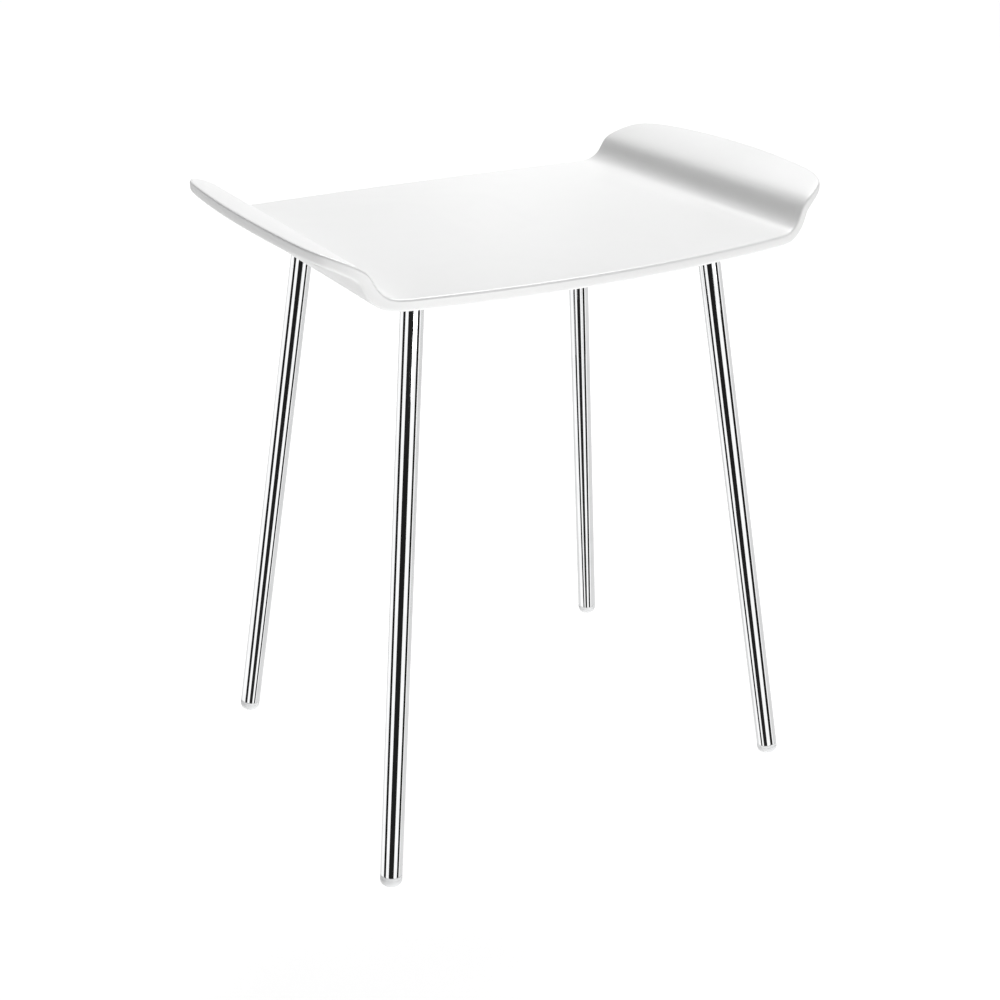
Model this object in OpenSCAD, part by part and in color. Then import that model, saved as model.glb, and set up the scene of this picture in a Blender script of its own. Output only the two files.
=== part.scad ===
// Shower stool: a moulded seat with two rolled side wings, on four splayed tube legs.
// Millimetres. The origin is on the floor under the middle of the seat, +Z is up,
// the front is towards -Y and the wings are on the left and right, towards -X and +X.

/* [Seat] */
// Height of the flat top above the floor
seat_h = 487; // [430:1:600]
// Width of the flat top, from crease to crease
seat_w = 335; // [280:1:420]
// Depth of the flat top at its corners
seat_d = 299; // [248:1:360]
// How far the front edge bows out past the corners
front_bow = 16; // [5:1:40]
// How far the rear edge bows out past the corners
rear_bow = 4; // [1:1:30]
// Height of the seat's edge
edge_t = 9; // [8:0.5:14]
// Thickness of the top skin over the underside pockets
skin_t = 4; // [3:0.5:5]

/* [Wings] */
// Radius of the crease between the flat top and a wing
crease_r = 19; // [10:1:24]
// Steepest slope of a wing, just above the crease
wing_lean = 76; // [60:1:80]
// Radius of the knee where a wing starts to roll outwards
knee_r = 14; // [12:1:25]
// Slope of a wing where the knee ends and the long roll starts
shoulder_slope = 26; // [18:1:50]
// Radius of the long roll towards the rim
roll_r = 252; // [80:1:400]
// Slope of a wing at its rim
rim_slope = 16.4; // [4:0.2:18]
// Thickness of a wing
wing_t = 9; // [7:0.5:11]
// Radius of the outer bend under the crease
heel_r = 24; // [10:1:26]
// Length of the rim, between its corners
rim_len = 266; // [220:1:320]
// How far the rim bows out between its corners
rim_bow = 11.4; // [4:0.2:24]
// Radius of the rim's corners
rim_corner_r = 44; // [10:1:48]

/* [Underside] */
// Distance between the underside ribs
rib_pitch = 42; // [34:1:50]
// Thickness of a rib
rib_t = 4; // [3:0.5:6]
// Solid border that is left around the pockets
border = 14; // [8:1:24]
// Diameter of the boss over each leg
boss_dia = 70; // [68:1:80]
// How far a boss stands below the underside
boss_drop = 3; // [2:0.5:10]

/* [Legs] */
// Outer diameter of a leg tube
tube_dia = 18; // [16:1:22]
// Wall of a leg tube
tube_wall = 1.5; // [1:0.25:2]
// Distance from the crease to a leg's axis, at its mounting plate
leg_inset_x = 35; // [35:1:60]
// Distance from the seat's corner line to a leg's axis, at its mounting plate
leg_inset_y = 51.5; // [40:0.5:70]
// How far the four legs together sit behind the seat's middle
leg_setback = 3; // [0:0.5:6]
// How far a foot stands outside its mounting plate, to the side
splay_x = 60; // [30:1:75]
// How far a foot stands outside its mounting plate, to the front or rear
splay_y = 55; // [30:1:70]

/* [Leg mounting] */
// Diameter of a mounting plate
plate_dia = 64; // [62:1:70]
// Thickness of a mounting plate
plate_t = 4; // [3:0.5:6]
// Size of the weld between a tube and its plate
weld_h = 4; // [3:0.5:5]
// Number of screws in a plate
screw_count = 4; // [3:1:6]
// Diameter of the circle the screws stand on
screw_pcd = 46; // [42:1:48]
// Thread diameter of a screw
screw_dia = 6; // [5:0.5:6]
// Length of a screw under its head
screw_len = 12; // [10:1:13]
// Diameter of a screw head
head_dia = 11; // [9:0.5:12]
// Height of a screw head
head_h = 3.4; // [2.5:0.1:5]
// Width across the flats of the socket in a screw head
socket_af = 4; // [3:0.5:5]
// Outer diameter of a threaded insert
insert_dia = 9; // [8:0.5:10]
// Length of a threaded insert
insert_len = 8; // [7:0.5:10]
// Radial clearance of a screw in its plate
plate_clearance = 0.3; // [0.2:0.05:0.6]
// Radial clearance of a screw's thread in its insert
thread_clearance = 0.05; // [0.02:0.01:0.1]

/* [Feet] */
// Length of a foot below the end of its tube
foot_len = 9.5; // [8:0.5:14]
// Radius of the rounding at the bottom of a foot
foot_round = 6; // [4:0.5:7]
// How deep the flat contact face is cut into the rounding
foot_flat = 0.6; // [0.4:0.1:1.2]
// Length of the stem inside the tube
stem_len = 22; // [14:1:30]
// Radial gap between the stem's core and the tube
stem_gap = 1; // [0.5:0.1:1.5]
// Number of sealing fins on the stem
fin_count = 4; // [2:1:5]
// Thickness of a fin
fin_t = 1.6; // [1:0.1:2]
// How far a fin is squeezed by the tube, on the radius
fin_squeeze = 0.1; // [0.05:0.05:0.2]

/* [Hidden] */
CORNERS = [["front_left", -1, -1], ["front_right", 1, -1], ["rear_left", -1, 1], ["rear_right", 1, 1]];
LEG_PARTS = ["leg", "foot", "plate", "screws", "inserts"];

$fn = 64;
spare = 20;                      // how far a cutting shape runs past what it cuts
half_w = seat_w / 2;
half_d = seat_d / 2;
tube_r = tube_dia / 2;
tube_bore_r = tube_r - tube_wall;

// Heights, from the top down
underside_z = seat_h - edge_t;
boss_z = underside_z - boss_drop;
plate_z = boss_z - plate_t;      // the plates' lower face, where the tubes end

// A leg's axis runs from its plate down and outwards to the floor
leg_x = half_w - leg_inset_x;
leg_y = half_d - leg_inset_y;
leg_len = norm([splay_x, splay_y, plate_z]);
leg_tilt = acos(plate_z / leg_len);
leg_turn = atan2(-splay_y, -splay_x);

// ---- Seat outline and section ----

// Points of an arc in a plane, n steps from angle a0 to a1. An arc that goes on from another
// one leaves out its first point.
function arc(centre, r, a0, a1, n, first = 0) =
    [for (i = [first:n]) let (a = a0 + (a1 - a0) * i / n) centre + r * [cos(a), sin(a)]];

// Unit vector along a slope, and the one to its right, which points under the wing
function along(slope) = [cos(slope), sin(slope)];
function under(slope) = [sin(slope), -cos(slope)];

// An arc that replaces the corner at p1 of the path p0, p1, p2
function rounded(p0, p1, p2, r, n) =
    let (u = (p0 - p1) / norm(p0 - p1), v = (p2 - p1) / norm(p2 - p1),
         half = acos(u * v) / 2,
         centre = p1 + (u + v) / norm(u + v) * r / sin(half),
         start = p1 + u * r / tan(half) - centre, end = p1 + v * r / tan(half) - centre,
         a0 = atan2(start[1], start[0]),
         turn = atan2(start[0] * end[1] - start[1] * end[0], start * end))
    arc(centre, r, a0, a0 + turn, n);

function flipped(points) = [for (i = [len(points) - 1:-1:0]) points[i]];
function mirrored(points) = [for (p = points) [-p[0], p[1]]];

// Wing section, from the crease outwards: the bend, the knee and the long roll.
// Each arc starts where the one before it ends, at the same slope.
bend_end = [half_w, 0] + crease_r * ([0, 1] + under(wing_lean));
knee_centre = bend_end + knee_r * under(wing_lean);
knee_end = knee_centre - knee_r * under(shoulder_slope);
roll_centre = knee_end + roll_r * under(shoulder_slope);
rim = roll_centre - roll_r * under(rim_slope);

wing_top = concat(
    arc([half_w, crease_r], crease_r, -90, wing_lean - 90, 7),
    arc(knee_centre, knee_r, 90 + wing_lean, 90 + shoulder_slope, 3, 1),
    arc(roll_centre, roll_r, 90 + shoulder_slope, 90 + rim_slope, 7, 1),
    [rim + spare * along(rim_slope)]);

// The heel is the bend on the underside, between the flat underside and the wing's back
wing_back = bend_end + wing_t * under(wing_lean);
heel = min(heel_r, (wing_back[1] + edge_t) / (1 - cos(wing_lean)));    // it ends below the knee
heel_end_z = heel - edge_t - heel * cos(wing_lean);
heel_end = wing_back + along(wing_lean) * (heel_end_z - wing_back[1]) / sin(wing_lean);
heel_centre = heel_end - heel * under(wing_lean);

wing_under = concat(
    arc(heel_centre, heel, -90, wing_lean - 90, 5),
    arc(knee_centre, knee_r - wing_t, 90 + wing_lean, 90 + shoulder_slope, 3),
    arc(roll_centre, roll_r - wing_t, 90 + shoulder_slope, 90 + rim_slope, 7, 1),
    [rim + wing_t * under(rim_slope) + spare * along(rim_slope)]);

half_section = concat(wing_top, flipped(wing_under));
seat_section = concat(half_section, flipped(mirrored(half_section)));

// Depth of the front and rear edges at a distance x from the middle
function front_y(x) = -half_d - front_bow * (1 - pow(x / half_w, 2));
function rear_y(x) = half_d + rear_bow * (1 - pow(x / half_w, 2));

// Rim line seen from above, at a fraction t from its front end to its rear end
function rim_point(t) = [rim[0] - rim_bow * pow(2 * t - 1, 2), rim_len * (t - 0.5)];

edge_steps = 8;                  // on half of the front or rear edge
rim_steps = 8;
half_outline = concat(
    [for (i = [0:edge_steps]) let (x = half_w * i / edge_steps) [x, front_y(x)]],
    rounded([half_w, -half_d], rim_point(0), rim_point(1 / rim_steps), rim_corner_r, 7),
    [for (i = [1:rim_steps - 1]) rim_point(i / rim_steps)],
    rounded(rim_point(1 - 1 / rim_steps), rim_point(1), [half_w, half_d], rim_corner_r, 7),
    [for (i = [edge_steps:-1:0]) let (x = half_w * i / edge_steps) [x, rear_y(x)]]);
seat_outline = concat(half_outline, [for (p = flipped(mirrored(half_outline))) if (p[0] < 0) p]);

// The flat top's own outline, drawn in by the solid border
pocket_x = half_w - border;
pocket_outline = concat(
    [for (i = [-edge_steps:edge_steps]) let (x = pocket_x * i / edge_steps) [x, front_y(x) + border]],
    [for (i = [edge_steps:-1:-edge_steps]) let (x = pocket_x * i / edge_steps) [x, rear_y(x) - border]]);

// ---- Placing ----

// One of the four corners: the children are drawn for the rear right one
module at_corner(corner) {
    translate([0, leg_setback, 0])
        mirror([corner[1] < 0 ? 1 : 0, 0, 0]) mirror([0, corner[2] < 0 ? 1 : 0, 0]) children();
}

module above_plate(z) { translate([leg_x, leg_y, z]) children(); }

// Along a leg's axis: the height counts from the floor
module along_leg() {
    translate([leg_x + splay_x, leg_y + splay_y, 0]) rotate([0, leg_tilt, leg_turn]) children();
}

module on_screw_circle() {
    for (i = [0:screw_count - 1])
        rotate(360 * (i + 0.5) / screw_count) translate([screw_pcd / 2, 0, 0]) children();
}

// ---- Seat ----

module seat_blank() {
    intersection() {
        translate([0, seat_d, seat_h]) rotate([90, 0, 0]) linear_extrude(2 * seat_d) polygon(seat_section);
        translate([0, 0, underside_z - spare]) linear_extrude(seat_h) polygon(seat_outline);
    }
}

module underside_pockets() {
    columns = floor(pocket_x / rib_pitch);
    rows = floor((half_d + front_bow) / rib_pitch);
    pocket = rib_pitch - rib_t;
    intersection() {
        translate([0, 0, underside_z - spare]) linear_extrude(spare + edge_t - skin_t) polygon(pocket_outline);
        for (i = [-columns:columns], j = [-rows:rows])
            translate([i * rib_pitch - pocket / 2, j * rib_pitch - pocket / 2, underside_z - spare])
                cube([pocket, pocket, 2 * spare]);
    }
}

module leg_boss() { above_plate(boss_z) cylinder(d = boss_dia, h = seat_h - skin_t - boss_z); }

module seat() {
    color("white") difference() {
        union() {
            difference() {
                seat_blank();
                underside_pockets();
            }
            for (corner = CORNERS) at_corner(corner) leg_boss();
        }
        for (corner = CORNERS) at_corner(corner) above_plate(boss_z) on_screw_circle() {
            insert_body();
            translate([0, 0, -spare])
                cylinder(r = screw_dia / 2 + thread_clearance, h = spare + screw_len - plate_t + tip_gap);
        }
    }
}

// ---- Leg mounting ----

tip_gap = 1;                     // left over the end of a screw that is longer than its insert
insert_groove = 1.2;             // depth and half width of the groove that locks an insert in the seat
socket_depth = 0.6 * head_h;

module insert_body() {
    difference() {
        cylinder(d = insert_dia, h = insert_len);
        translate([0, 0, insert_len / 2 - insert_groove]) difference() {
            cylinder(d = insert_dia + spare, h = 2 * insert_groove);
            cylinder(d = insert_dia - insert_groove, h = 2 * insert_groove);
        }
    }
}

module inserts(corner) {
    color("darkgoldenrod") at_corner(corner) above_plate(boss_z) on_screw_circle() difference() {
        insert_body();
        translate([0, 0, -spare]) cylinder(r = screw_dia / 2 + thread_clearance, h = insert_len + 2 * spare);
    }
}

module plate(corner) {
    color("silver") at_corner(corner) above_plate(plate_z) difference() {
        cylinder(d = plate_dia, h = plate_t);
        translate([0, 0, -spare]) on_screw_circle()
            cylinder(r = screw_dia / 2 + plate_clearance, h = plate_t + 2 * spare);
    }
}

module screws(corner) {
    color("gainsboro") at_corner(corner) above_plate(plate_z) on_screw_circle() difference() {
        union() {
            cylinder(d = screw_dia, h = screw_len);
            translate([0, 0, -head_h]) cylinder(d = head_dia, h = head_h);
        }
        translate([0, 0, -head_h - spare])
            cylinder(d = socket_af / cos(30), h = spare + socket_depth, $fn = 6);
    }
}

// ---- Legs and feet ----

// In a leg's own frame: all that lies above the level plane that cuts its axis at a length h
module above_level(h) {
    translate([0, 0, h]) rotate([0, -leg_tilt, 0]) translate([-2 * spare, -2 * spare, 0]) cube(4 * spare);
}

weld_edge = 0.4;                 // thickness of the weld's lower edge
weld_gap = 0.5;                  // from a weld to the nearest screw head

// The tube leans, so its weld spreads furthest on one side, and the screw heads limit it there
weld_room = (screw_pcd / 2 - head_dia / 2 - weld_gap) * (cos(leg_tilt) - sin(leg_tilt));
weld = min(weld_h, weld_room - tube_r - weld_edge);

// The weld is the flare at the top of the tube, against its plate
module leg(corner) {
    color("lightsteelblue") at_corner(corner) along_leg() difference() {
        union() {
            translate([0, 0, foot_len]) cylinder(r = tube_r, h = leg_len);
            translate([0, 0, leg_len - weld])
                cylinder(r1 = tube_r + weld_edge, r2 = tube_r + weld_edge + weld + spare, h = weld + spare);
        }
        cylinder(r = tube_bore_r, h = leg_len + 2 * spare);
        above_level(leg_len);
    }
}

module foot(corner) {
    fin_pitch = (stem_len - fin_t) / fin_count;
    cap = concat([[0, -foot_flat]],
        arc([tube_r - foot_round, foot_round - foot_flat], foot_round, -90, 0, 8),
        [[tube_r, foot_len], [0, foot_len]]);
    color("lightgray") at_corner(corner) along_leg() difference() {
        union() {
            rotate_extrude() polygon(cap);
            translate([0, 0, foot_len]) cylinder(r = tube_bore_r - stem_gap, h = stem_len);
            for (i = [1:fin_count]) translate([0, 0, foot_len + i * fin_pitch - fin_t])
                cylinder(r = tube_bore_r + fin_squeeze, h = fin_t);
        }
        mirror([0, 0, 1]) mirror([1, 0, 0]) above_level(0);
    }
}

seat();
for (corner = CORNERS) {
    leg(corner);
    foot(corner);
    plate(corner);
    screws(corner);
    inserts(corner);
}
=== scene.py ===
import math

import bmesh
import bpy
from mathutils import Matrix, Vector


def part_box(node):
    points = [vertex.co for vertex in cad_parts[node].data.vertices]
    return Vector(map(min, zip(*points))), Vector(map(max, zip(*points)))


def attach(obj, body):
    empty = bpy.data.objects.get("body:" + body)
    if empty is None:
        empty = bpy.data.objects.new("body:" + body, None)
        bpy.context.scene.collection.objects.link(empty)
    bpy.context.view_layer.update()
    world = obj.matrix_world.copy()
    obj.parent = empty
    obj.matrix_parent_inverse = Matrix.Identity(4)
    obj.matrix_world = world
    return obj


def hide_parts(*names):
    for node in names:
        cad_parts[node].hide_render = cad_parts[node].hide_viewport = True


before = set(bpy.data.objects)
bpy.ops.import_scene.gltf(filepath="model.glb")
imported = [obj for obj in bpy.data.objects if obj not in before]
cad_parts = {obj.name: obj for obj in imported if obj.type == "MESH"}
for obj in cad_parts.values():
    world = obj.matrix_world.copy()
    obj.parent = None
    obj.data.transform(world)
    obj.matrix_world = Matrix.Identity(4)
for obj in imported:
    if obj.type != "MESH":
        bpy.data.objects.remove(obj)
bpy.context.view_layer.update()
corners = {"front_left": (-1, -1), "front_right": (1, -1), "rear_left": (-1, 1), "rear_right": (1, 1)}

# how close two places have to be to count as one
near = 1e-5
exact = 1e-6


# ---- modelling helpers ----

def clearSelection():
    for obj in bpy.context.selected_objects:
        obj.select_set(False)


def makeActive(obj):
    clearSelection()
    obj.select_set(True)
    bpy.context.view_layer.objects.active = obj


def newPiece(name):
    obj = bpy.context.object
    obj.name = name
    obj.data.name = name
    makeActive(obj)
    return obj


def startEdit(obj, mode="VERT"):
    makeActive(obj)
    bpy.ops.object.mode_set(mode="EDIT")
    bpy.ops.mesh.select_mode(type=mode)
    bpy.ops.mesh.select_all(action="DESELECT")


def endEdit():
    bpy.ops.object.mode_set(mode="OBJECT")


def pickVerts(test):
    mesh = bpy.context.object.data
    bpy.ops.mesh.select_all(action="DESELECT")
    bm = bmesh.from_edit_mesh(mesh)
    for vert in bm.verts:
        vert.select = test(vert.co)
    bm.select_flush_mode()
    bmesh.update_edit_mesh(mesh)


def pickEdges(test):
    mesh = bpy.context.object.data
    bpy.ops.mesh.select_mode(type="EDGE")
    bpy.ops.mesh.select_all(action="DESELECT")
    bm = bmesh.from_edit_mesh(mesh)
    for edge in bm.edges:
        edge.select_set(test(edge))
    bmesh.update_edit_mesh(mesh)


def pickFaces(test):
    mesh = bpy.context.object.data
    bpy.ops.mesh.select_all(action="DESELECT")
    bm = bmesh.from_edit_mesh(mesh)
    for face in bm.faces:
        if test(face.calc_center_median(), face.normal):
            face.select_set(True)
    bmesh.update_edit_mesh(mesh)


def placeInMesh(obj):
    makeActive(obj)
    bpy.ops.object.transform_apply(location=True, rotation=True, scale=True)


def outward(obj):
    startEdit(obj)
    bpy.ops.mesh.select_all(action="SELECT")
    bpy.ops.mesh.normals_make_consistent(inside=False)
    endEdit()


def applyModifier(obj, kind, **settings):
    makeActive(obj)
    modifier = obj.modifiers.new(kind.title(), kind)
    for key, value in settings.items():
        setattr(modifier, key, value)
    bpy.ops.object.modifier_apply(modifier=modifier.name)


def combine(obj, tool, operation):
    applyModifier(obj, "BOOLEAN", object=tool, operation=operation, solver="EXACT")
    bpy.data.objects.remove(tool)


def joinAll(objs):
    makeActive(objs[0])
    for obj in objs:
        obj.select_set(True)
    bpy.ops.object.join()
    return bpy.context.object


def copyOf(obj, name):
    twin = obj.copy()
    twin.data = obj.data.copy()
    twin.name = twin.data.name = name
    bpy.context.scene.collection.objects.link(twin)
    return twin


# a turned part: a ring that is extruded and scaled along its profile of (radius, height)
def turned(name, profile, sides, hollow=False):
    radius, height = profile[0]
    clearSelection()
    bpy.ops.mesh.primitive_circle_add(vertices=sides, radius=radius, location=(0, 0, height),
                                      fill_type="NOTHING" if hollow else "NGON")
    obj = newPiece(name)
    placeInMesh(obj)
    startEdit(obj)
    bpy.ops.mesh.select_all(action="SELECT")
    for nextRadius, nextHeight in profile[1:]:
        bpy.ops.mesh.extrude_region_move(TRANSFORM_OT_translate={"value": (0, 0, nextHeight - height)})
        ratio = nextRadius / radius
        bpy.ops.transform.resize(value=(ratio, ratio, 1), center_override=(0, 0, nextHeight))
        radius, height = nextRadius, nextHeight
    bpy.ops.mesh.select_all(action="SELECT")
    bpy.ops.mesh.remove_doubles(threshold=exact)
    bpy.ops.mesh.normals_make_consistent(inside=False)
    endEdit()
    return obj


def arcPoints(centre, radius, start, end, steps):
    angles = [math.radians(start + (end - start) * i / steps) for i in range(steps + 1)]
    return [(centre[0] + radius * math.cos(a), centre[1] + radius * math.sin(a)) for a in angles]


def smoothShade(obj, angle):
    makeActive(obj)
    bpy.ops.object.shade_smooth_by_angle(angle=math.radians(angle))


# ---- materials ----

def addNode(tree, kind, **settings):
    node = tree.nodes.new(kind)
    for key, value in settings.items():
        if key in node.inputs.keys():
            node.inputs[key].default_value = value
        else:
            setattr(node, key, value)
    return node


def startGroup(name, inputs, outputs):
    group = bpy.data.node_groups.new(name, "ShaderNodeTree")
    for label, kind, value in inputs:
        socket = group.interface.new_socket(name=label, in_out="INPUT", socket_type="NodeSocket" + kind)
        if value is not None:
            socket.default_value = value
    for label, kind in outputs:
        group.interface.new_socket(name=label, in_out="OUTPUT", socket_type="NodeSocket" + kind)
    return group, group.nodes.new("NodeGroupInput"), group.nodes.new("NodeGroupOutput")


# height of a fine moulded or blasted texture: soft grain with sparse pits
def buildGrainGroup():
    group, source, result = startGroup(
        "surface grain",
        [("Vector", "Vector", None), ("Scale", "Float", 1500.0), ("Pits", "Float", 0.3)],
        [("Height", "Float")])
    link = group.links.new
    noise = addNode(group, "ShaderNodeTexNoise", Detail=3.0, Roughness=0.55)
    cells = addNode(group, "ShaderNodeTexVoronoi", feature="SMOOTH_F1")
    scaled = addNode(group, "ShaderNodeMath", operation="MULTIPLY")
    scaled.inputs[1].default_value = 0.55
    mixed = addNode(group, "ShaderNodeMath", operation="MULTIPLY_ADD")
    link(source.outputs["Vector"], noise.inputs["Vector"])
    link(source.outputs["Vector"], cells.inputs["Vector"])
    link(source.outputs["Scale"], noise.inputs["Scale"])
    link(source.outputs["Scale"], scaled.inputs[0])
    link(scaled.outputs[0], cells.inputs["Scale"])
    link(cells.outputs["Distance"], mixed.inputs[0])
    link(source.outputs["Pits"], mixed.inputs[1])
    link(noise.outputs["Fac"], mixed.inputs[2])
    link(mixed.outputs[0], result.inputs["Height"])
    return group


# patches where hands and water have dulled or cleaned a surface, as a roughness and a mask
def buildHandledGroup():
    group, source, result = startGroup(
        "handled patches",
        [("Vector", "Vector", None), ("Scale", "Float", 14.0), ("Clean", "Float", 0.3),
         ("Dull", "Float", 0.4)],
        [("Roughness", "Float"), ("Mask", "Float")])
    link = group.links.new
    broad = addNode(group, "ShaderNodeTexNoise", Detail=5.0, Roughness=0.6, Distortion=0.6)
    ramp = addNode(group, "ShaderNodeMapRange", interpolation_type="SMOOTHSTEP")
    ramp.inputs["From Min"].default_value = 0.36
    ramp.inputs["From Max"].default_value = 0.66
    spread = addNode(group, "ShaderNodeMapRange")
    link(source.outputs["Vector"], broad.inputs["Vector"])
    link(source.outputs["Scale"], broad.inputs["Scale"])
    link(broad.outputs["Fac"], ramp.inputs["Value"])
    link(ramp.outputs["Result"], spread.inputs["Value"])
    link(source.outputs["Clean"], spread.inputs["To Min"])
    link(source.outputs["Dull"], spread.inputs["To Max"])
    link(spread.outputs["Result"], result.inputs["Roughness"])
    link(ramp.outputs["Result"], result.inputs["Mask"])
    return group


# fine parallel lines left by polishing, drawn along a stretched direction, with a few hair scratches
def buildPolishGroup():
    group, source, result = startGroup(
        "polishing lines",
        [("Vector", "Vector", None), ("Stretch", "Vector", (1.0, 1.0, 1.0)), ("Lines", "Float", 1.0)],
        [("Height", "Float"), ("Mask", "Float")])
    link = group.links.new
    stretched = addNode(group, "ShaderNodeVectorMath", operation="MULTIPLY")
    lines = addNode(group, "ShaderNodeTexNoise", Scale=1.0, Detail=4.0, Roughness=0.7)
    hair = addNode(group, "ShaderNodeTexNoise", Scale=0.23, Detail=2.0, Distortion=1.4)
    scratch = addNode(group, "ShaderNodeMapRange")
    scratch.inputs["From Min"].default_value = 0.62
    scratch.inputs["From Max"].default_value = 0.70
    mixed = addNode(group, "ShaderNodeMath", operation="MULTIPLY_ADD")
    link(source.outputs["Vector"], stretched.inputs[0])
    link(source.outputs["Stretch"], stretched.inputs[1])
    link(stretched.outputs["Vector"], lines.inputs["Vector"])
    link(stretched.outputs["Vector"], hair.inputs["Vector"])
    link(lines.outputs["Fac"], mixed.inputs[0])
    link(source.outputs["Lines"], mixed.inputs[1])
    link(hair.outputs["Fac"], scratch.inputs["Value"])
    link(scratch.outputs["Result"], mixed.inputs[2])
    link(mixed.outputs[0], result.inputs["Height"])
    link(scratch.outputs["Result"], result.inputs["Mask"])
    return group


surfaceGrain = buildGrainGroup()
handledPatches = buildHandledGroup()
polishingLines = buildPolishGroup()


def startMaterial(name, **shaderValues):
    material = bpy.data.materials.new(name)
    material.use_nodes = True
    tree = material.node_tree
    shader = tree.nodes["Principled BSDF"]
    for key, value in shaderValues.items():
        shader.inputs[key.replace("_", " ")].default_value = value
    return material, tree, shader


def useGroup(tree, group, **values):
    node = tree.nodes.new("ShaderNodeGroup")
    node.node_tree = group
    for key, value in values.items():
        node.inputs[key].default_value = value
    return node


# a base colour that drifts between two tints where a surface was handled
def tintByMask(tree, mask, first, second, shader):
    mix = tree.nodes.new("ShaderNodeMix")
    mix.data_type = "RGBA"
    mix.inputs["A"].default_value = (*first, 1)
    mix.inputs["B"].default_value = (*second, 1)
    tree.links.new(mask, mix.inputs["Factor"])
    tree.links.new(mix.outputs["Result"], shader.inputs["Base Color"])


def addBump(tree, shader, height, distance):
    bump = addNode(tree, "ShaderNodeBump", Strength=1.0, Distance=distance)
    tree.links.new(height, bump.inputs["Height"])
    tree.links.new(bump.outputs["Normal"], shader.inputs["Normal"])


# clean and dull are the roughness of untouched and of handled patches; lengths are in metres
def buildMoulded(name, first, second, clean, dull, grainScale, grainDepth, patchScale, pits=0.3):
    material, tree, shader = startMaterial(name)
    link = tree.links.new
    place = tree.nodes.new("ShaderNodeTexCoord").outputs["Object"]
    patches = useGroup(tree, handledPatches, Scale=patchScale, Clean=clean, Dull=dull)
    grain = useGroup(tree, surfaceGrain, Scale=grainScale, Pits=pits)
    for node in (patches, grain):
        link(place, node.inputs["Vector"])
    tintByMask(tree, patches.outputs["Mask"], first, second, shader)
    link(patches.outputs["Roughness"], shader.inputs["Roughness"])
    addBump(tree, shader, grain.outputs["Height"], grainDepth)
    return material


def buildMetal(name, first, second, clean, dull, stretch, lineDepth, coordinate="Object",
               patchScale=40.0, lineShare=0.7):
    material, tree, shader = startMaterial(name, Metallic=1.0)
    link = tree.links.new
    coordinates = tree.nodes.new("ShaderNodeTexCoord")
    patches = useGroup(tree, handledPatches, Scale=patchScale, Clean=clean, Dull=dull)
    lines = useGroup(tree, polishingLines, Stretch=stretch, Lines=lineShare)
    link(coordinates.outputs["Object"], patches.inputs["Vector"])
    link(coordinates.outputs[coordinate], lines.inputs["Vector"])
    tintByMask(tree, patches.outputs["Mask"], first, second, shader)
    link(patches.outputs["Roughness"], shader.inputs["Roughness"])
    addBump(tree, shader, lines.outputs["Height"], lineDepth)
    return material


whitePolymer = buildMoulded(
    "white polymer", first=(0.87, 0.872, 0.868), second=(0.855, 0.857, 0.855), clean=0.30, dull=0.37,
    grainScale=1500.0, grainDepth=0.00005, patchScale=9.0)
greyRubber = buildMoulded(
    "grey rubber", first=(0.86, 0.865, 0.87), second=(0.82, 0.825, 0.83), clean=0.42, dull=0.58,
    grainScale=1900.0, grainDepth=0.00007, patchScale=60.0)
polishedSteel = buildMetal(
    "polished steel", first=(0.86, 0.865, 0.87), second=(0.82, 0.825, 0.83), clean=0.02, dull=0.045,
    stretch=(30.0, 4200.0, 1.0), lineDepth=0.00000025, coordinate="UV")
satinSteel = buildMetal(
    "satin steel", first=(0.60, 0.605, 0.61), second=(0.53, 0.535, 0.54), clean=0.24, dull=0.36,
    stretch=(60.0, 3000.0, 60.0), lineDepth=0.000012)
screwSteel = buildMetal(
    "screw steel", first=(0.62, 0.62, 0.61), second=(0.50, 0.50, 0.49), clean=0.18, dull=0.34,
    stretch=(1400.0, 1400.0, 900.0), lineDepth=0.000010)
brass = buildMetal(
    "brass", first=(0.72, 0.50, 0.20), second=(0.60, 0.40, 0.16), clean=0.20, dull=0.34,
    stretch=(1500.0, 1500.0, 300.0), lineDepth=0.000012)


def finishPiece(obj, nodes, material, angle=35):
    obj.data.materials.clear()
    obj.data.materials.append(material)
    smoothShade(obj, angle)
    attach(obj, "root")
    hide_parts(*nodes)


# ---- seat ----

seatSize = {
    "width": 0.335, "depth": 0.299, "frontBow": 0.016, "rearBow": 0.004, "edge": 0.009, "skin": 0.004,
    "creaseRadius": 0.019, "wingLean": 76, "kneeRadius": 0.014, "shoulderSlope": 26,
    "rollRadius": 0.252, "rimSlope": 16.4, "wingThickness": 0.009, "heelRadius": 0.024,
    "rimLength": 0.266, "rimBow": 0.0114, "rimCorner": 0.044, "topRound": 0.0022, "lowerRound": 0.0026,
    # an outline edge is one where the faces meet at more than this many degrees
    "outlineAngle": 50,
    "ribPitch": 0.042, "ribWidth": 0.004, "border": 0.014, "pocketRound": 0.003, "pocketFillet": 0.0012,
    "pocketHeight": 0.02, "fieldDrop": 0.005, "fieldHeight": 0.03, "fieldSteps": 16,
    # pockets on each side of the middle one, across and along
    "pocketColumns": 3, "pocketRows": 4,
    "bossRadius": 0.035, "bossDrop": 0.003, "bossRound": 0.001, "bossBreak": 0.0003, "bossOverlap": 0.0002,
}
# rows of points across the flat, as shares of its half width, and steps in each arc of the wing
flatShares = (0, 0.14, 0.28, 0.42, 0.56, 0.70, 0.83, 0.93)
arcSteps = {"crease": 4, "knee": 2, "roll": 4}
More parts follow.
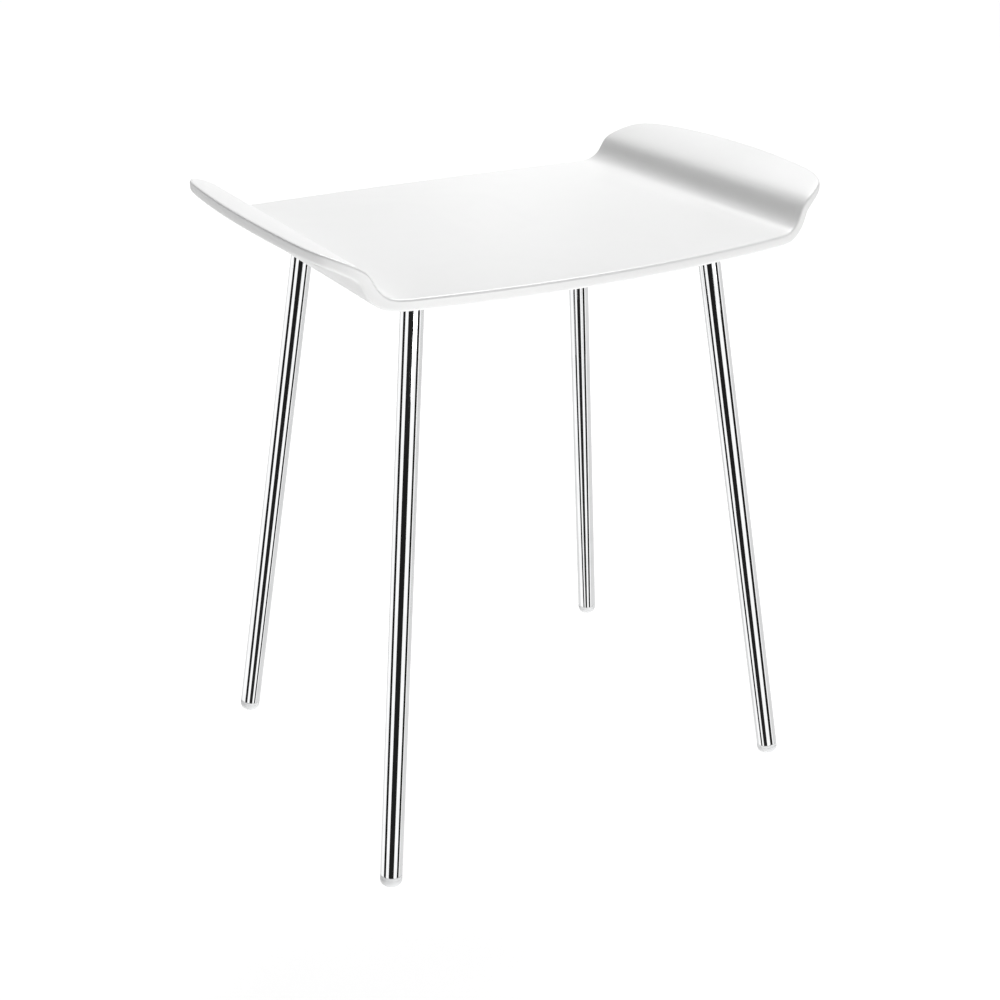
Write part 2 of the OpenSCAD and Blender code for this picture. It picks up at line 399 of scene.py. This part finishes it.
# how a rim corner is drawn in: the stretch of bow its direction is taken from, the part of the radius
# that stays, the share of the full move, how fast it fades inwards, and its slope in degrees over the rim's
cornerPull = {"chord": 0.75, "core": 0.3, "strength": 0.85, "fade": 3, "steeper": 2}
mountSize = {
    "insetX": 0.035, "insetY": 0.0515, "setback": 0.003, "splayX": 0.060, "splayY": 0.055,
    "plateRadius": 0.032, "plateHeight": 0.004, "circle": 0.023, "screwRadius": 0.003, "screwLength": 0.012,
    "headRadius": 0.0055, "headHeight": 0.0034, "socketFlats": 0.004, "socketReach": 1.2,
    "threads": 7, "threadDepth": 0.0005, "threadEnd": 0.001, "screwTip": 0.0008,
    "insertRadius": 0.0045, "insertLength": 0.008, "insertFit": 0.00005, "insertBreak": 0.0004,
    "grooveDepth": 0.0006, "grooveHalf": 0.0012,
    "knurlSides": 96, "knurlInset": 0.00005, "knurlDepth": 0.00025,
    "holeGap": 0.0003, "holeOverrun": 0.002,
}
screwAngles = [math.radians(angle) for angle in (45, 135, 225, 315)]

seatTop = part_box("leg_front_left")[1].z + mountSize["plateHeight"] + seatSize["bossDrop"] + seatSize["edge"]
halfWidth = seatSize["width"] / 2
halfDepth = seatSize["depth"] / 2
undersideZ = seatTop - seatSize["edge"]
bossZ = undersideZ - seatSize["bossDrop"]
plateZ = bossZ - mountSize["plateHeight"]
legX = halfWidth - mountSize["insetX"]
legY = halfDepth - mountSize["insetY"]


def under(slope):
    return Vector((math.sin(math.radians(slope)), -math.cos(math.radians(slope))))


# points across half of the seat: (x, z) of the top and, below each one, of the underside
def seatSections():
    s = seatSize
    bendEnd = Vector((halfWidth, 0)) + s["creaseRadius"] * (Vector((0, 1)) + under(s["wingLean"]))
    kneeCentre = bendEnd + s["kneeRadius"] * under(s["wingLean"])
    kneeEnd = kneeCentre - s["kneeRadius"] * under(s["shoulderSlope"])
    rollCentre = kneeEnd + s["rollRadius"] * under(s["shoulderSlope"])
    rim = rollCentre - s["rollRadius"] * under(s["rimSlope"])
    flat = [(halfWidth * share, 0) for share in flatShares]
    steep, shoulder, end = 90 + s["wingLean"], 90 + s["shoulderSlope"], 90 + s["rimSlope"]
    crease = arcPoints((halfWidth, s["creaseRadius"]), s["creaseRadius"], -90, s["wingLean"] - 90,
                       arcSteps["crease"])
    knee = arcPoints(kneeCentre, s["kneeRadius"], steep, shoulder, arcSteps["knee"])[1:]
    roll = arcPoints(rollCentre, s["rollRadius"], shoulder, end, arcSteps["roll"])[1:]
    top = flat + crease + knee + roll
    wingBack = bendEnd + s["wingThickness"] * under(s["wingLean"])
    slope = Vector((math.cos(math.radians(s["wingLean"])), math.sin(math.radians(s["wingLean"]))))
    heelEndZ = s["heelRadius"] - s["edge"] - s["heelRadius"] * slope.x
    heelEnd = wingBack + slope * (heelEndZ - wingBack.y) / slope.y
    heelCentre = heelEnd - s["heelRadius"] * under(s["wingLean"])
    backRadius = s["rollRadius"] - s["wingThickness"]
    back = arcPoints(rollCentre, backRadius, shoulder, end, arcSteps["roll"])[1:-1]
    rimLow = (rim.x, rollCentre.y + math.sqrt(backRadius ** 2 - (rim.x - rollCentre.x) ** 2))
    kneeBack = arcPoints(kneeCentre, s["kneeRadius"] - s["wingThickness"], steep, shoulder,
                         arcSteps["knee"] - 1)
    heel = arcPoints(heelCentre, s["heelRadius"], -90, s["wingLean"] - 90, arcSteps["crease"])
    low = [(x, -s["edge"]) for x, z in flat] + heel + kneeBack + back + [rimLow]
    endX = rim.x - s["rimBow"]
    endRise = rollCentre.y + math.sqrt(s["rollRadius"] ** 2 - (endX - rollCentre.x) ** 2)
    ends = ((endX - kneeEnd.x) / (rim.x - kneeEnd.x), (endRise - kneeEnd.y) / (rim.y - kneeEnd.y))
    return top, low, kneeEnd, Vector(kneeBack[-1]), rim, ends


# rimEnd and rimDrop: the wing's reach and rise at its ends, as shares of those at its middle
topLine, lowLine, kneeTop, kneeLow, rimTop, (rimEnd, rimDrop) = seatSections()


# front and rear ends of a lengthwise row of points at a distance x from the middle
def rowEnds(x):
    if x <= halfWidth:
        bow = 1 - (x / halfWidth) ** 2
        return -halfDepth - seatSize["frontBow"] * bow, halfDepth + seatSize["rearBow"] * bow
    endX = x if x < kneeTop.x else kneeTop.x + (x - kneeTop.x) * rimEnd
    reach = rimTop.x - seatSize["rimBow"] - halfWidth
    half = halfDepth - (endX - halfWidth) * (halfDepth - seatSize["rimLength"] / 2) / reach
    return -half, half


# places along a row, as shares of its half length from the middle to the ends
halfShares = [0.09, 0.22, 0.37, 0.53, 0.70, 0.86]
rowShares = [-share for share in reversed(halfShares)] + halfShares


# moves the picked row of points so that it runs between new ends
def fitRow(old, new):
    oldFront, oldRear = rowEnds(old[0])
    newFront, newRear = rowEnds(new[0])
    centre = (old[0], (oldFront + oldRear) / 2, seatTop + old[1])
    ratio = (newRear - newFront) / (oldRear - oldFront)
    shift = (newFront + newRear - oldFront - oldRear) / 2
    bpy.ops.transform.resize(value=(1, ratio, 1), center_override=centre)
    bpy.ops.transform.translate(value=(new[0] - old[0], shift, new[1] - old[1]))


# keeps the outline sharp when the form is subdivided; the middle line stays soft
def markOutline():
    pickEdges(lambda edge: edge.is_boundary and any(abs(vert.co.x) > exact for vert in edge.verts))
    bpy.ops.transform.edge_crease(value=1)
    bpy.ops.mesh.select_mode(type="VERT")


# the rim bows: each row across a wing is drawn in towards the knee, most at its ends
def bowRim():
    def onLine(co, line):
        return any(abs(co.x - x) < near and abs(co.z - seatTop - z) < near for x, z in line)

    for share in [-1] + rowShares + [1]:
        reach = 1 - (1 - rimEnd) * share ** 2
        rise = 1 - (1 - rimDrop) * share ** 2
        rimX = kneeTop.x + (rimTop.x - kneeTop.x) * reach
        for line, knee in ((topLine, kneeTop), (lowLine, kneeLow)):
            pickVerts(lambda co: co.x > knee.x + 1e-4 and onLine(co, line)
                      and abs(co.y / rowEnds(co.x)[1] - share) < 1e-3)
            ratio = (rimX - knee.x) / (rimTop.x - knee.x)
            bpy.ops.transform.resize(value=(ratio, 1, rise), center_override=(knee.x, 0, seatTop + knee.y))


# draws the rim's corners in to an arc: the points nearest the outline move the most
def roundRimCorners():
    radius, bow, halfRim = seatSize["rimCorner"], seatSize["rimBow"], seatSize["rimLength"] / 2
    pull = cornerPull
    corner = Vector((rimTop.x - bow, halfRim))
    endWay = (Vector((halfWidth, halfDepth)) - corner).normalized()
    rimWay = Vector((bow * (1 - pull["chord"] ** 2), -halfRim * (1 - pull["chord"]))).normalized()
    inward = (endWay + rimWay).normalized()
    half = endWay.angle(rimWay) / 2
    centre = corner + inward * radius / math.sin(half)
    slope = math.tan(math.radians(seatSize["rimSlope"] + pull["steeper"]))
    moves = []
    for vert in bmesh.from_edit_mesh(bpy.context.object.data).verts:
        side = 1 if vert.co.y > 0 else -1
        spoke = Vector((vert.co.x, vert.co.y * side)) - centre
        if vert.co.x < kneeTop.x or spoke.length < radius * pull["core"]:
            continue
        if spoke.angle(-inward) > math.pi / 2 - half:
            continue
        reach = radius / math.cos(math.pi / 2 - half - spoke.angle(-inward))
        fade = min(spoke.length / reach, 1) ** pull["fade"]
        step = -spoke.normalized() * (reach - radius) * pull["strength"] * fade
        moves.append((vert.co.copy(), (step.x, step.y * side, step.x * slope)))
    for place, step in moves:
        pickVerts(lambda co: (co - place).length < exact)
        bpy.ops.transform.translate(value=step)


# rounds the edges where the outline wall meets the top or the underside
def roundOutline(seat):
    def outline(edge, upper):
        if len(edge.link_faces) != 2 or edge.calc_face_angle() < math.radians(seatSize["outlineAngle"]):
            return False
        return (sum(face.normal.z for face in edge.link_faces) > 0) == upper

    for upper, radius in ((True, seatSize["topRound"]), (False, seatSize["lowerRound"])):
        startEdit(seat, "EDGE")
        pickEdges(lambda edge: outline(edge, upper))
        bpy.ops.mesh.bevel(offset=radius, segments=4, profile=0.5, affect="EDGES", loop_slide=False)
        endEdit()


def buildSeatBlank():
    front, rear = rowEnds(0)
    half, middle, stripWidth = (rear - front) / 2, (front + rear) / 2, topLine[1][0]
    clearSelection()
    bpy.ops.mesh.primitive_grid_add(x_subdivisions=1, y_subdivisions=len(rowShares) + 1, size=1,
                                    location=(stripWidth / 2, middle, seatTop))
    seat = newPiece("seat_shell")
    seat.scale = (stripWidth, rear - front, 1)
    placeInMesh(seat)
    startEdit(seat)
    # the grid's rows are even, and the seat's are closer at the ends
    gridStep = 2 / (len(rowShares) + 1)
    moves = [(-1 + gridStep * (i + 1), share) for i, share in enumerate(rowShares)]
    for old, new in sorted(moves, key=lambda move: -abs(move[1])):
        pickVerts(lambda co: abs(co.y - middle - old * half) < near)
        bpy.ops.transform.translate(value=(0, (new - old) * half, 0))
    # the side edge starts at the middle and is drawn outwards, one stretch at a time
    pickVerts(lambda co: abs(co.x - stripWidth) < exact)
    bpy.ops.transform.translate(value=(-stripWidth, 0, 0))
    for old, new in zip(topLine[:-1], topLine[1:]):
        if old is not topLine[0]:
            bpy.ops.mesh.extrude_region_move()
        fitRow(old, new)
    # the sheet is given its thickness, then the underside gets its own line
    markOutline()
    bpy.ops.mesh.select_all(action="SELECT")
    bpy.ops.mesh.extrude_region_move(TRANSFORM_OT_translate={"value": (0, 0, -seatSize["edge"])})
    for (topX, topZ), low in reversed(list(zip(topLine, lowLine))):
        old = (topX, topZ - seatSize["edge"])
        if abs(low[0] - old[0]) + abs(low[1] - old[1]) > exact:
            pickVerts(lambda co: abs(co.x - old[0]) < near and abs(co.z - seatTop - old[1]) < near)
            fitRow(old, low)
    bowRim()
    roundRimCorners()
    pickFaces(lambda centre, normal: abs(centre.x) < exact)
    bpy.ops.mesh.delete(type="ONLY_FACE")
    endEdit()
    applyModifier(seat, "MIRROR", use_clip=True, merge_threshold=near)
    outward(seat)
    applyModifier(seat, "SUBSURF", levels=1, render_levels=1)
    return seat


# the field inside the solid border, as a block that trims the pockets
def buildPocketField():
    steps, width = seatSize["fieldSteps"], halfWidth - seatSize["border"]
    clearSelection()
    bpy.ops.mesh.primitive_grid_add(x_subdivisions=steps, y_subdivisions=1, size=1,
                                    location=(0, 0, undersideZ - seatSize["fieldDrop"]))
    field = newPiece("pocket_field")
    field.scale = (2 * width, 1, 1)
    placeInMesh(field)
    startEdit(field)
    for side in (-1, 1):
        for i in range(steps + 1):
            x = width * (2 * i / steps - 1)
            end = rowEnds(abs(x))[0 if side < 0 else 1] - side * seatSize["border"]
            pickVerts(lambda co: abs(co.x - x) < near and co.y * side > 0)
            bpy.ops.transform.translate(value=(0, end - side / 2, 0))
    bpy.ops.mesh.select_all(action="SELECT")
    bpy.ops.mesh.extrude_region_move(TRANSFORM_OT_translate={"value": (0, 0, seatSize["fieldHeight"])})
    endEdit()
    outward(field)
    return field


def buildPockets():
    s = seatSize
    pocket, columns, rows = s["ribPitch"] - s["ribWidth"], s["pocketColumns"], s["pocketRows"]
    top, halfHeight = seatTop - s["skin"], s["pocketHeight"] / 2
    clearSelection()
    bpy.ops.mesh.primitive_cube_add(
        size=1, location=(-columns * s["ribPitch"], -rows * s["ribPitch"], top - halfHeight))
    block = newPiece("pockets")
    block.scale = (pocket, pocket, s["pocketHeight"])
    placeInMesh(block)
    startEdit(block, "EDGE")
    pickEdges(lambda edge: abs(edge.verts[0].co.z - edge.verts[1].co.z) > halfHeight)
    bpy.ops.mesh.bevel(offset=s["pocketRound"], segments=4, affect="EDGES")
    pickEdges(lambda edge: all(vert.co.z > top - near for vert in edge.verts))
    bpy.ops.mesh.bevel(offset=s["pocketFillet"], segments=2, affect="EDGES")
    endEdit()
    for axis, count in ((0, 2 * columns + 1), (1, 2 * rows + 1)):
        step = [0.0, 0.0, 0.0]
        step[axis] = s["ribPitch"]
        applyModifier(block, "ARRAY", count=count, use_relative_offset=False, use_constant_offset=True,
                      constant_offset_displace=step)
    combine(block, buildPocketField(), "INTERSECT")
    return block


def atCorner(obj, corner):
    sideX, sideY = corners[corner]
    obj.scale = (sideX, sideY, 1)
    obj.location = (0, mountSize["setback"], 0)
    placeInMesh(obj)
    outward(obj)
    return obj


def onScrewCircle(obj):
    ring, circle = [], mountSize["circle"]
    for angle in screwAngles:
        twin = copyOf(obj, obj.name)
        twin.location = (legX + circle * math.cos(angle), legY + circle * math.sin(angle), 0)
        twin.rotation_euler = (0, 0, angle)
        placeInMesh(twin)
        ring.append(twin)
    bpy.data.objects.remove(obj)
    return joinAll(ring)


def buildSeat():
    s, m = seatSize, mountSize
    seat = buildSeatBlank()
    roundOutline(seat)
    print("seat form", len(seat.data.polygons))
    combine(seat, buildPockets(), "DIFFERENCE")
    radius = s["bossRadius"]
    boss = turned("boss", [
        (radius - s["bossRound"], bossZ), (radius - s["bossBreak"], bossZ + s["bossBreak"]),
        (radius, bossZ + s["bossRound"]), (radius, seatTop - s["skin"] + s["bossOverlap"])], 96)
    boss.location = (legX, legY, 0)
    placeInMesh(boss)
    combine(seat, joinAll([atCorner(copyOf(boss, "boss"), corner) for corner in corners]), "UNION")
    bpy.data.objects.remove(boss)
    body, groove = m["insertRadius"], m["insertRadius"] - m["grooveDepth"]
    half, wide = m["insertLength"] / 2, m["grooveHalf"]
    hole = onScrewCircle(turned("hole", [
        (body, bossZ - m["holeOverrun"]), (body, bossZ + half - wide), (groove, bossZ + half - wide),
        (groove, bossZ + half + wide), (body, bossZ + half + wide), (body, bossZ + m["insertLength"])], 32))
    combine(seat, joinAll([atCorner(copyOf(hole, "hole"), corner) for corner in corners]), "DIFFERENCE")
    bpy.data.objects.remove(hole)
    seat.name = seat.data.name = "moulded_seat"
    finishPiece(seat, ["seat"], whitePolymer, 30)
    applyModifier(seat, "WEIGHTED_NORMAL", keep_sharp=True)
    print("seat", len(seat.data.polygons), "faces")
    return seat


buildSeat()

# ---- legs, feet and mountings: each is made for the rear right corner, then copied to all four ----

legSize = {
    "tubeRadius": 0.009, "wall": 0.0015, "sides": 96, "footLength": 0.0095, "overrun": 0.01,
    "endRound": 0.0004, "endBreak": 0.3,
    "weldBite": 0.0004, "weldReach": 0.0034, "weldHeight": 0.0036, "weldRipples": 36, "weldRipple": 0.00035,
    # the weld's outline, as shares of its reach and of its height
    "weldLine": ((1, 0), (0.93, 0.28), (0.66, 0.60), (0.30, 0.86), (0, 1)),
}
footSize = {
    "round": 0.006, "flat": 0.0006, "inset": 0.00005, "edgeBreak": 0.0003,
    "seam": 0.00025, "seamAt": 0.72, "seamSlope": 0.0002, "seamWidth": 0.0003,
    "soleBorder": 0.0012, "soleDepth": 0.0006, "soleTop": 0.0005,
    "stemLength": 0.022, "stemGap": 0.001, "stemBreak": 0.001,
    # each fin's flank, edge and taper, as shares of its width and as a step back in metres
    "fins": 4, "finWidth": 0.0016, "finFit": 0.00005, "finLow": 0.8, "finHigh": 0.35, "finTaper": 0.0006,
}
legLength = Vector((mountSize["splayX"], mountSize["splayY"], plateZ)).length
lean = math.acos(plateZ / legLength)
turn = math.atan2(-mountSize["splayY"], -mountSize["splayX"])
footPoint = Vector((legX + mountSize["splayX"], legY + mountSize["splayY"], 0))


# turns an upright part so that it stands along the leg of its corner
def alongLeg(obj):
    rotation = Matrix.Rotation(turn, 4, "Z") @ Matrix.Rotation(lean, 4, "Y")
    obj.matrix_world = Matrix.Translation(footPoint) @ rotation
    placeInMesh(obj)
    return obj


# cuts a part level at a height above the floor, leaving the cut open
def cutLevel(obj, height, keepBelow):
    startEdit(obj)
    bpy.ops.mesh.select_all(action="SELECT")
    bpy.ops.mesh.bisect(plane_co=(0, 0, height), plane_no=(0, 0, 1), use_fill=False,
                        clear_outer=keepBelow, clear_inner=not keepBelow, threshold=exact)
    endEdit()


def buildTube():
    leg = legSize
    outer, inner = leg["tubeRadius"], leg["tubeRadius"] - leg["wall"]
    endRound, small = leg["endRound"], leg["endRound"] * leg["endBreak"]
    clearSelection()
    depth = legLength + leg["overrun"] - leg["footLength"]
    bpy.ops.mesh.primitive_cylinder_add(
        vertices=leg["sides"], radius=outer, depth=depth, end_fill_type="NOTHING",
        location=(0, 0, leg["footLength"] + depth / 2))
    tube = newPiece("tube")
    placeInMesh(tube)
    startEdit(tube)
    pickVerts(lambda co: co.z < leg["footLength"] + exact)
    centre = (0, 0, leg["footLength"])
    bpy.ops.transform.translate(value=(0, 0, endRound))
    endLine = ((outer - small, small), (outer - endRound, 0), (inner + endRound, 0), (inner, endRound))
    for radius, height in endLine:
        bpy.ops.mesh.extrude_region_move()
        bm = bmesh.from_edit_mesh(tube.data)
        now = next(vert.co.copy() for vert in bm.verts if vert.select)
        ratio = radius / math.hypot(now.x, now.y)
        bpy.ops.transform.resize(value=(ratio, ratio, 1), center_override=centre)
        bpy.ops.transform.translate(value=(0, 0, leg["footLength"] + height - now.z))
    bpy.ops.mesh.extrude_region_move(TRANSFORM_OT_translate={"value": (0, 0, depth - endRound)})
    endEdit()
    outward(tube)
    alongLeg(tube)
    cutLevel(tube, plateZ, True)
    startEdit(tube, "EDGE")
    pickEdges(lambda edge: edge.is_boundary)
    bpy.ops.mesh.bridge_edge_loops()
    endEdit()
    outward(tube)
    return tube


# the weld is a rippled ring between the tube and the plate
def buildWeld():
    leg = legSize
    count = leg["weldRipples"] * 4
    inner = leg["tubeRadius"] - leg["weldBite"]
    flank = [(inner + leg["weldReach"] * out, plateZ - leg["weldHeight"] * down)
             for out, down in leg["weldLine"]]
    weld = turned("weld", [(inner, plateZ)] + flank + [(inner, plateZ)], count, hollow=True)
    startEdit(weld)

    # every fourth strip of the flank, away from the tube and the plate
    def crest(co):
        step = round(math.atan2(co.y, co.x) / (2 * math.pi) * count) % 4
        return step == 0 and math.hypot(co.x, co.y) > inner + 10 * near and co.z < plateZ - near

    pickVerts(crest)
    bpy.ops.transform.shrink_fatten(value=leg["weldRipple"])
    bpy.ops.mesh.select_all(action="SELECT")
    bpy.ops.transform.translate(value=(legX, legY, 0))
    endEdit()
    return weld


def buildLegs():
    tube = buildTube()
    combine(tube, buildWeld(), "UNION")
    for corner in corners:
        leg = atCorner(copyOf(tube, "leg_tube_" + corner), corner)
        finishPiece(leg, ["leg_" + corner], polishedSteel, 40)
    bpy.data.objects.remove(tube)
    print("legs")


def buildFeet():
    leg, foot = legSize, footSize
    outer, bore = leg["tubeRadius"] - foot["inset"], leg["tubeRadius"] - leg["wall"]
    length, core = leg["footLength"], leg["tubeRadius"] - leg["wall"] - foot["stemGap"]
    seamZ, slope, edgeBreak = length * foot["seamAt"], foot["seamSlope"], foot["edgeBreak"]
    rounding = arcPoints((outer - foot["round"], foot["round"] - foot["flat"]), foot["round"], -84, 0, 12)
    profile = rounding + [
        (outer, seamZ), (outer - foot["seam"], seamZ + slope),
        (outer - foot["seam"], seamZ + slope + foot["seamWidth"]),
        (outer, seamZ + 2 * slope + foot["seamWidth"]),
        (outer, length - edgeBreak), (outer - edgeBreak, length), (core, length)]
    width, finEdge, stemTop = foot["finWidth"], bore - foot["finFit"], length + foot["stemLength"]
    pitch = (foot["stemLength"] - width) / foot["fins"]
    for i in range(1, foot["fins"] + 1):
        top = length + i * pitch
        profile += [(core, top - width), (finEdge, top - width * foot["finLow"]),
                    (finEdge, top - width * foot["finHigh"]), (bore - foot["finTaper"], top), (core, top)]
    profile += [(core, stemTop - foot["stemBreak"]), (core - foot["stemBreak"], stemTop)]
    cap = turned("foot", profile, 96)
    # the sole is recessed inside a border
    startEdit(cap, "FACE")
    pickFaces(lambda centre, normal: centre.z < foot["soleTop"] and normal.z < -0.99)
    bpy.ops.mesh.inset(thickness=foot["soleBorder"])
    bpy.ops.mesh.extrude_region_move(TRANSFORM_OT_translate={"value": (0, 0, foot["soleDepth"])})
    endEdit()
    alongLeg(cap)
    cutLevel(cap, 0, False)
    startEdit(cap, "EDGE")
    pickEdges(lambda edge: edge.is_boundary)
    bpy.ops.mesh.fill()
    endEdit()
    outward(cap)
    for corner in corners:
        piece = atCorner(copyOf(cap, "foot_cap_" + corner), corner)
        finishPiece(piece, ["foot_" + corner], greyRubber)
    bpy.data.objects.remove(cap)
    print("feet")


def buildPlate():
    m = mountSize
    rim = m["plateRadius"]
    plate = turned("plate", [(rim - 0.0008, plateZ), (rim - 0.0002, plateZ + 0.0002), (rim, plateZ + 0.0008),
                             (rim, bossZ - 0.0004), (rim - 0.0004, bossZ)], 128)
    plate.location = (legX, legY, 0)
    placeInMesh(plate)
    reach = m["screwRadius"] + m["holeGap"]
    hole = turned("holes", [(reach + 0.0006, plateZ - 0.0002), (reach, plateZ + 0.0005),
                            (reach, bossZ + m["holeOverrun"])], 48)
    combine(plate, onScrewCircle(hole), "DIFFERENCE")
    return plate


# the domed head, as shares of its radius and of its height below the plate
headLine = ((0.42, 1), (0.50, 0.995), (0.66, 0.93), (0.80, 0.76), (0.92, 0.48), (0.99, 0.18), (1, 0.10))


def buildScrews():
    m = mountSize
    head, rise, shank = m["headRadius"], m["headHeight"], m["screwRadius"]
    root, tip = m["screwRadius"] - m["threadDepth"], plateZ + m["screwLength"]
    profile = [(head * out, plateZ - rise * down) for out, down in headLine]
    profile += [(head, plateZ - 0.0001), (head - 0.0001, plateZ), (shank, plateZ)]
    pitch = (m["screwLength"] - m["plateHeight"] - m["threadEnd"]) / m["threads"]
    for i in range(m["threads"]):
        low = bossZ + i * pitch
        profile += [(shank, low + pitch * 0.05), (root, low + pitch * 0.40), (root, low + pitch * 0.60),
                    (shank, low + pitch * 0.95)]
    profile += [(shank, tip - m["screwTip"]), (shank - m["screwTip"], tip)]
    screw = turned("screw", profile, 48)
    clearSelection()
    bpy.ops.mesh.primitive_cylinder_add(
        vertices=6, radius=m["socketFlats"] / 2 / math.cos(math.radians(30)), depth=rise * m["socketReach"],
        location=(0, 0, plateZ - rise))
    socket = newPiece("socket")
    placeInMesh(socket)
    combine(screw, socket, "DIFFERENCE")
    return onScrewCircle(screw)


def buildInserts():
    m = mountSize
    body, neck, sides = m["insertRadius"], m["insertRadius"] - m["grooveDepth"], m["knurlSides"]
    half, wide, top = m["insertLength"] / 2, m["grooveHalf"], bossZ + m["insertLength"]
    bore, edgeBreak = m["screwRadius"] + m["insertFit"], m["insertBreak"]
    insert = turned("insert", [
        (bore + edgeBreak, bossZ), (body - 0.0002, bossZ), (body, bossZ + edgeBreak),
        (body, bossZ + half - wide), (neck, bossZ + half - wide), (neck, bossZ + half + wide),
        (body, bossZ + half + wide), (body, top - 0.0006), (body - 0.0005, top), (bore, top),
        (bore, bossZ + edgeBreak), (bore + edgeBreak, bossZ)], sides, hollow=True)

    # every third strip of the two bands is sunk as a knurl
    def knurl(centre, normal):
        strip = int((math.atan2(centre.y, centre.x) / (2 * math.pi) + 1) * sides) % 3
        return math.hypot(centre.x, centre.y) > body - 10 * near and abs(normal.z) < 0.1 and strip == 0

    startEdit(insert, "FACE")
    pickFaces(knurl)
    bpy.ops.mesh.inset(thickness=m["knurlInset"], use_individual=False)
    bpy.ops.transform.shrink_fatten(value=-m["knurlDepth"])
    endEdit()
    return onScrewCircle(insert)


def buildMountings():
    kinds = [
        (buildPlate(), "mounting_plate_", "plate_", "satin_steel", satinSteel),
        (buildScrews(), "button_screws_", "screws_", "screw_steel", screwSteel),
        (buildInserts(), "brass_inserts_", "inserts_", "brass", brass),
    ]
    for corner in corners:
        for obj, name, node, slot, material in kinds:
            finishPiece(atCorner(copyOf(obj, name + corner), corner), [node + corner], material)
    for obj, name, node, slot, material in kinds:
        bpy.data.objects.remove(obj)
    print("mountings")


buildLegs()
buildFeet()
buildMountings()

# ---- studio ----

studio = {
    # light of the surroundings on matt surfaces, in reflections and as the plain background
    "worldMatt": 0.10, "worldGloss": 1.15, "worldSeen": 1.0,
    "floorTint": 0.25, "floorGlow": 0.92, "floorSize": 12, "floorDrop": 0.0005,
    # name: (place, target, width, height, watts)
    "lights": {
        "rear softbox": ((1.0, 1.1, 2.8), (0, 0, 0.48), 1.5, 1.0, 81),
        "front softbox": ((-0.1, -2.7, 0.38), (0, 0, 0.48), 2.4, 0.7, 31),
    },
    # cards that only glossy surfaces mirror: (angle round the object, distance, width, grey)
    "cards": {
        "front": (-124, 2.2, 1.94, 0.0), "left": (172, 2.6, 1.2, 0.0), "right": (-52, 2.6, 1.2, 0.0),
        "side": (15, 3.0, 5.5, 0.78), "rear": (88, 3.6, 3.4, 0.8),
    },
    # they reach far below the floor, so that the stripes run down the whole of each tube
    "cardHeight": 12, "cardMiddle": -3, "cardTint": (0.004, 0.004, 0.004),
    "camera": {
        "lens": 56.51, "sensor": 36, "place": (-0.6242, -1.0774, 0.8165), "tilt": 65.05, "turn": -29.9,
    },
}


def plainMaterial(name, colour, roughness=0.9, glow=0.0):
    material, tree, shader = startMaterial(name, Roughness=roughness, Base_Color=(*colour, 1),
                                           Emission_Color=(1, 1, 1, 1), Emission_Strength=glow)
    return material


def buildWorld():
    world = bpy.data.worlds.new("studio")
    bpy.context.scene.world = world
    world.use_nodes = True
    tree = world.node_tree
    link = tree.links.new
    background = tree.nodes["Background"]
    background.inputs["Color"].default_value = (1, 1, 1, 1)
    rays = tree.nodes.new("ShaderNodeLightPath")
    surface = tree.nodes.new("ShaderNodeMix")
    surface.inputs["A"].default_value = studio["worldMatt"]
    surface.inputs["B"].default_value = studio["worldGloss"]
    seen = tree.nodes.new("ShaderNodeMix")
    seen.inputs["B"].default_value = studio["worldSeen"]
    link(rays.outputs["Is Glossy Ray"], surface.inputs["Factor"])
    link(surface.outputs["Result"], seen.inputs["A"])
    link(rays.outputs["Is Camera Ray"], seen.inputs["Factor"])
    link(seen.outputs["Result"], background.inputs["Strength"])


def buildFloor():
    clearSelection()
    bpy.ops.mesh.primitive_plane_add(size=studio["floorSize"], location=(0, 0, -studio["floorDrop"]))
    floor = newPiece("floor")
    tint = studio["floorTint"]
    floor.data.materials.append(plainMaterial("pale floor", (tint, tint, tint), glow=studio["floorGlow"]))
    floor.visible_glossy = False


def buildLights():
    for name, (place, target, width, height, power) in studio["lights"].items():
        data = bpy.data.lights.new(name, "AREA")
        data.shape, data.size, data.size_y, data.energy = "RECTANGLE", width, height, power
        light = bpy.data.objects.new(name, data)
        light.location = place
        light.rotation_euler = (Vector(target) - Vector(place)).to_track_quat("-Z", "Y").to_euler()
        bpy.context.scene.collection.objects.link(light)


def buildCards():
    for name, (angle, distance, width, grey) in studio["cards"].items():
        facing = math.radians(angle)
        place = (distance * math.cos(facing), distance * math.sin(facing), studio["cardMiddle"])
        clearSelection()
        bpy.ops.mesh.primitive_plane_add(
            size=1, rotation=(math.radians(90), 0, facing + math.radians(90)), location=place)
        card = newPiece("card_" + name)
        card.scale = (width, studio["cardHeight"], 1)
        card.data.materials.append(plainMaterial("card " + name, studio["cardTint"], 1.0, glow=grey))
        for kind in ("camera", "diffuse", "shadow", "transmission"):
            setattr(card, "visible_" + kind, False)


def buildCamera():
    view = studio["camera"]
    data = bpy.data.cameras.new("camera")
    data.lens = view["lens"]
    data.sensor_width = view["sensor"]
    camera = bpy.data.objects.new("camera", data)
    camera.location = view["place"]
    camera.rotation_euler = (math.radians(view["tilt"]), 0, math.radians(view["turn"]))
    bpy.context.scene.collection.objects.link(camera)
    bpy.context.scene.camera = camera


buildWorld()
buildFloor()
buildLights()
buildCards()
buildCamera()
print("studio")
bpy.context.scene.view_settings.view_transform = "Standard"
